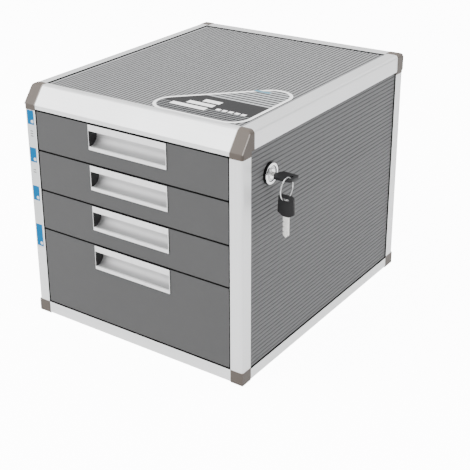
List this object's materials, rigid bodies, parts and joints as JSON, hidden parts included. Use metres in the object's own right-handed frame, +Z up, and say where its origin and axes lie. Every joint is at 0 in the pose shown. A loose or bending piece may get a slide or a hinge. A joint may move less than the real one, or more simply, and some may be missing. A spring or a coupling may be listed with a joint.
{
  "type": "desktop file drawer",
  "caption": "Desktop cabinet with an aluminium frame, ribbed panels, sliding drawers with recessed pulls, and a side key lock that blocks the drawers together.",
  "frame": {"origin": "centre of the base, on the surface that the cabinet stands on", "axes": "+X to the right of someone facing the front, +Y to the back (the drawers open along -Y), +Z up"},
  "size_m": [0.3349, 0.358, 0.2905],
  "materials": {
    "frame_aluminium": "satin anodised",
    "corner_plastic": "satin warm grey",
    "ribbed_panel": "ribbed satin grey",
    "base_panel": "matt grey",
    "runner_plastic": "matt dark grey",
    "zinc_steel": "zinc plated",
    "lock_chrome": "polished",
    "key_plastic": "moulded black",
    "tray_plastic": "matt grey",
    "front_plastic": "fine-textured grey",
    "pull_silver": "silver painted",
    "label_film": "printed film",
    "clear_film": "printed film"
  },
  "bodies": {
    "cabinet": {"top_front_rail": "frame_aluminium", "top_back_rail": "frame_aluminium", "bottom_front_rail": "frame_aluminium", "bottom_back_rail": "frame_aluminium", "left_top_side_rail": "frame_aluminium", "left_bottom_side_rail": "frame_aluminium", "left_front_post": "frame_aluminium", "left_back_post": "frame_aluminium", "left_top_front_corner": "corner_plastic", "left_top_back_corner": "corner_plastic", "left_bottom_front_corner": "corner_plastic", "left_bottom_back_corner": "corner_plastic", "right_top_side_rail": "frame_aluminium", "right_bottom_side_rail": "frame_aluminium", "right_front_post": "frame_aluminium", "right_back_post": "frame_aluminium", "right_top_front_corner": "corner_plastic", "right_top_back_corner": "corner_plastic", "right_bottom_front_corner": "corner_plastic", "right_bottom_back_corner": "corner_plastic", "top_panel": "ribbed_panel", "bottom_panel": "base_panel", "back_panel": "ribbed_panel", "left_side_panel": "ribbed_panel", "right_side_panel": "ribbed_panel", "left_liner": "runner_plastic", "right_liner": "runner_plastic", "liner_screws": "zinc_steel", "lock_body": "lock_chrome", "lock_nut": "zinc_steel", "top_label": "label_film", "post_strip": "clear_film"},
    "drawer_1": {"drawer_1_tray": "tray_plastic", "drawer_1_front": "front_plastic", "drawer_1_pull": "pull_silver", "drawer_1_screws": "zinc_steel"},
    "drawer_2": {"drawer_2_tray": "tray_plastic", "drawer_2_front": "front_plastic", "drawer_2_pull": "pull_silver", "drawer_2_screws": "zinc_steel"},
    "drawer_3": {"drawer_3_tray": "tray_plastic", "drawer_3_front": "front_plastic", "drawer_3_pull": "pull_silver", "drawer_3_screws": "zinc_steel"},
    "drawer_4": {"drawer_4_tray": "tray_plastic", "drawer_4_front": "front_plastic", "drawer_4_pull": "pull_silver", "drawer_4_screws": "zinc_steel"},
    "lock_core": {"lock_plug": "lock_chrome", "lock_cam": "zinc_steel", "cam_screw": "zinc_steel"},
    "lock_bar": {"lock_bar": "zinc_steel"},
    "key": {"key_blade": "zinc_steel", "key_head": "key_plastic"},
    "ring": {"key_ring": "zinc_steel"},
    "spare_key": {"spare_key_blade": "zinc_steel", "spare_key_head": "key_plastic"}
  },
  "joints": [
    {"name": "drawer_1_slide", "type": "slide", "parent": "cabinet", "child": "drawer_1", "axis": [0, -1, 0], "range_m": [0, 0.255]},
    {"name": "drawer_2_slide", "type": "slide", "parent": "cabinet", "child": "drawer_2", "axis": [0, -1, 0], "range_m": [0, 0.255]},
    {"name": "drawer_3_slide", "type": "slide", "parent": "cabinet", "child": "drawer_3", "axis": [0, -1, 0], "range_m": [0, 0.255]},
    {"name": "drawer_4_slide", "type": "slide", "parent": "cabinet", "child": "drawer_4", "axis": [0, -1, 0], "range_m": [0, 0.255]},
    {"name": "lock_turn", "type": "hinge", "parent": "cabinet", "child": "lock_core", "pos_m": [0.15, -0.1265, 0.233], "axis": [1, 0, 0], "range_deg": [0, 90]},
    {"name": "lock_bar_lift", "type": "slide", "parent": "cabinet", "child": "lock_bar", "axis": [0, 0, 1], "range_m": [0, 0.01414]},
    {"name": "key_withdraw", "type": "slide", "parent": "lock_core", "child": "key", "axis": [1, 0, 0], "range_m": [0, 0.015]},
    {"name": "ring_swing", "type": "hinge", "parent": "key", "child": "ring", "pos_m": [0.1745, -0.1265, 0.233], "axis": [1, 0, 0], "range_deg": [-50, 0]},
    {"name": "spare_key_slip", "type": "hinge", "parent": "ring", "child": "spare_key", "pos_m": [0.1745, -0.13421, 0.22381], "axis": [1, 0, 0], "range_deg": [-40, 0]}
  ],
  "couplings": [
    {"joint": "lock_turn", "follows": "lock_bar_lift", "rad_per_m": 111.07},
    {"joint": "ring_swing", "follows": "lock_bar_lift", "rad_per_m": -61.707},
    {"joint": "spare_key_slip", "follows": "lock_bar_lift", "rad_per_m": -49.365}
  ]
}
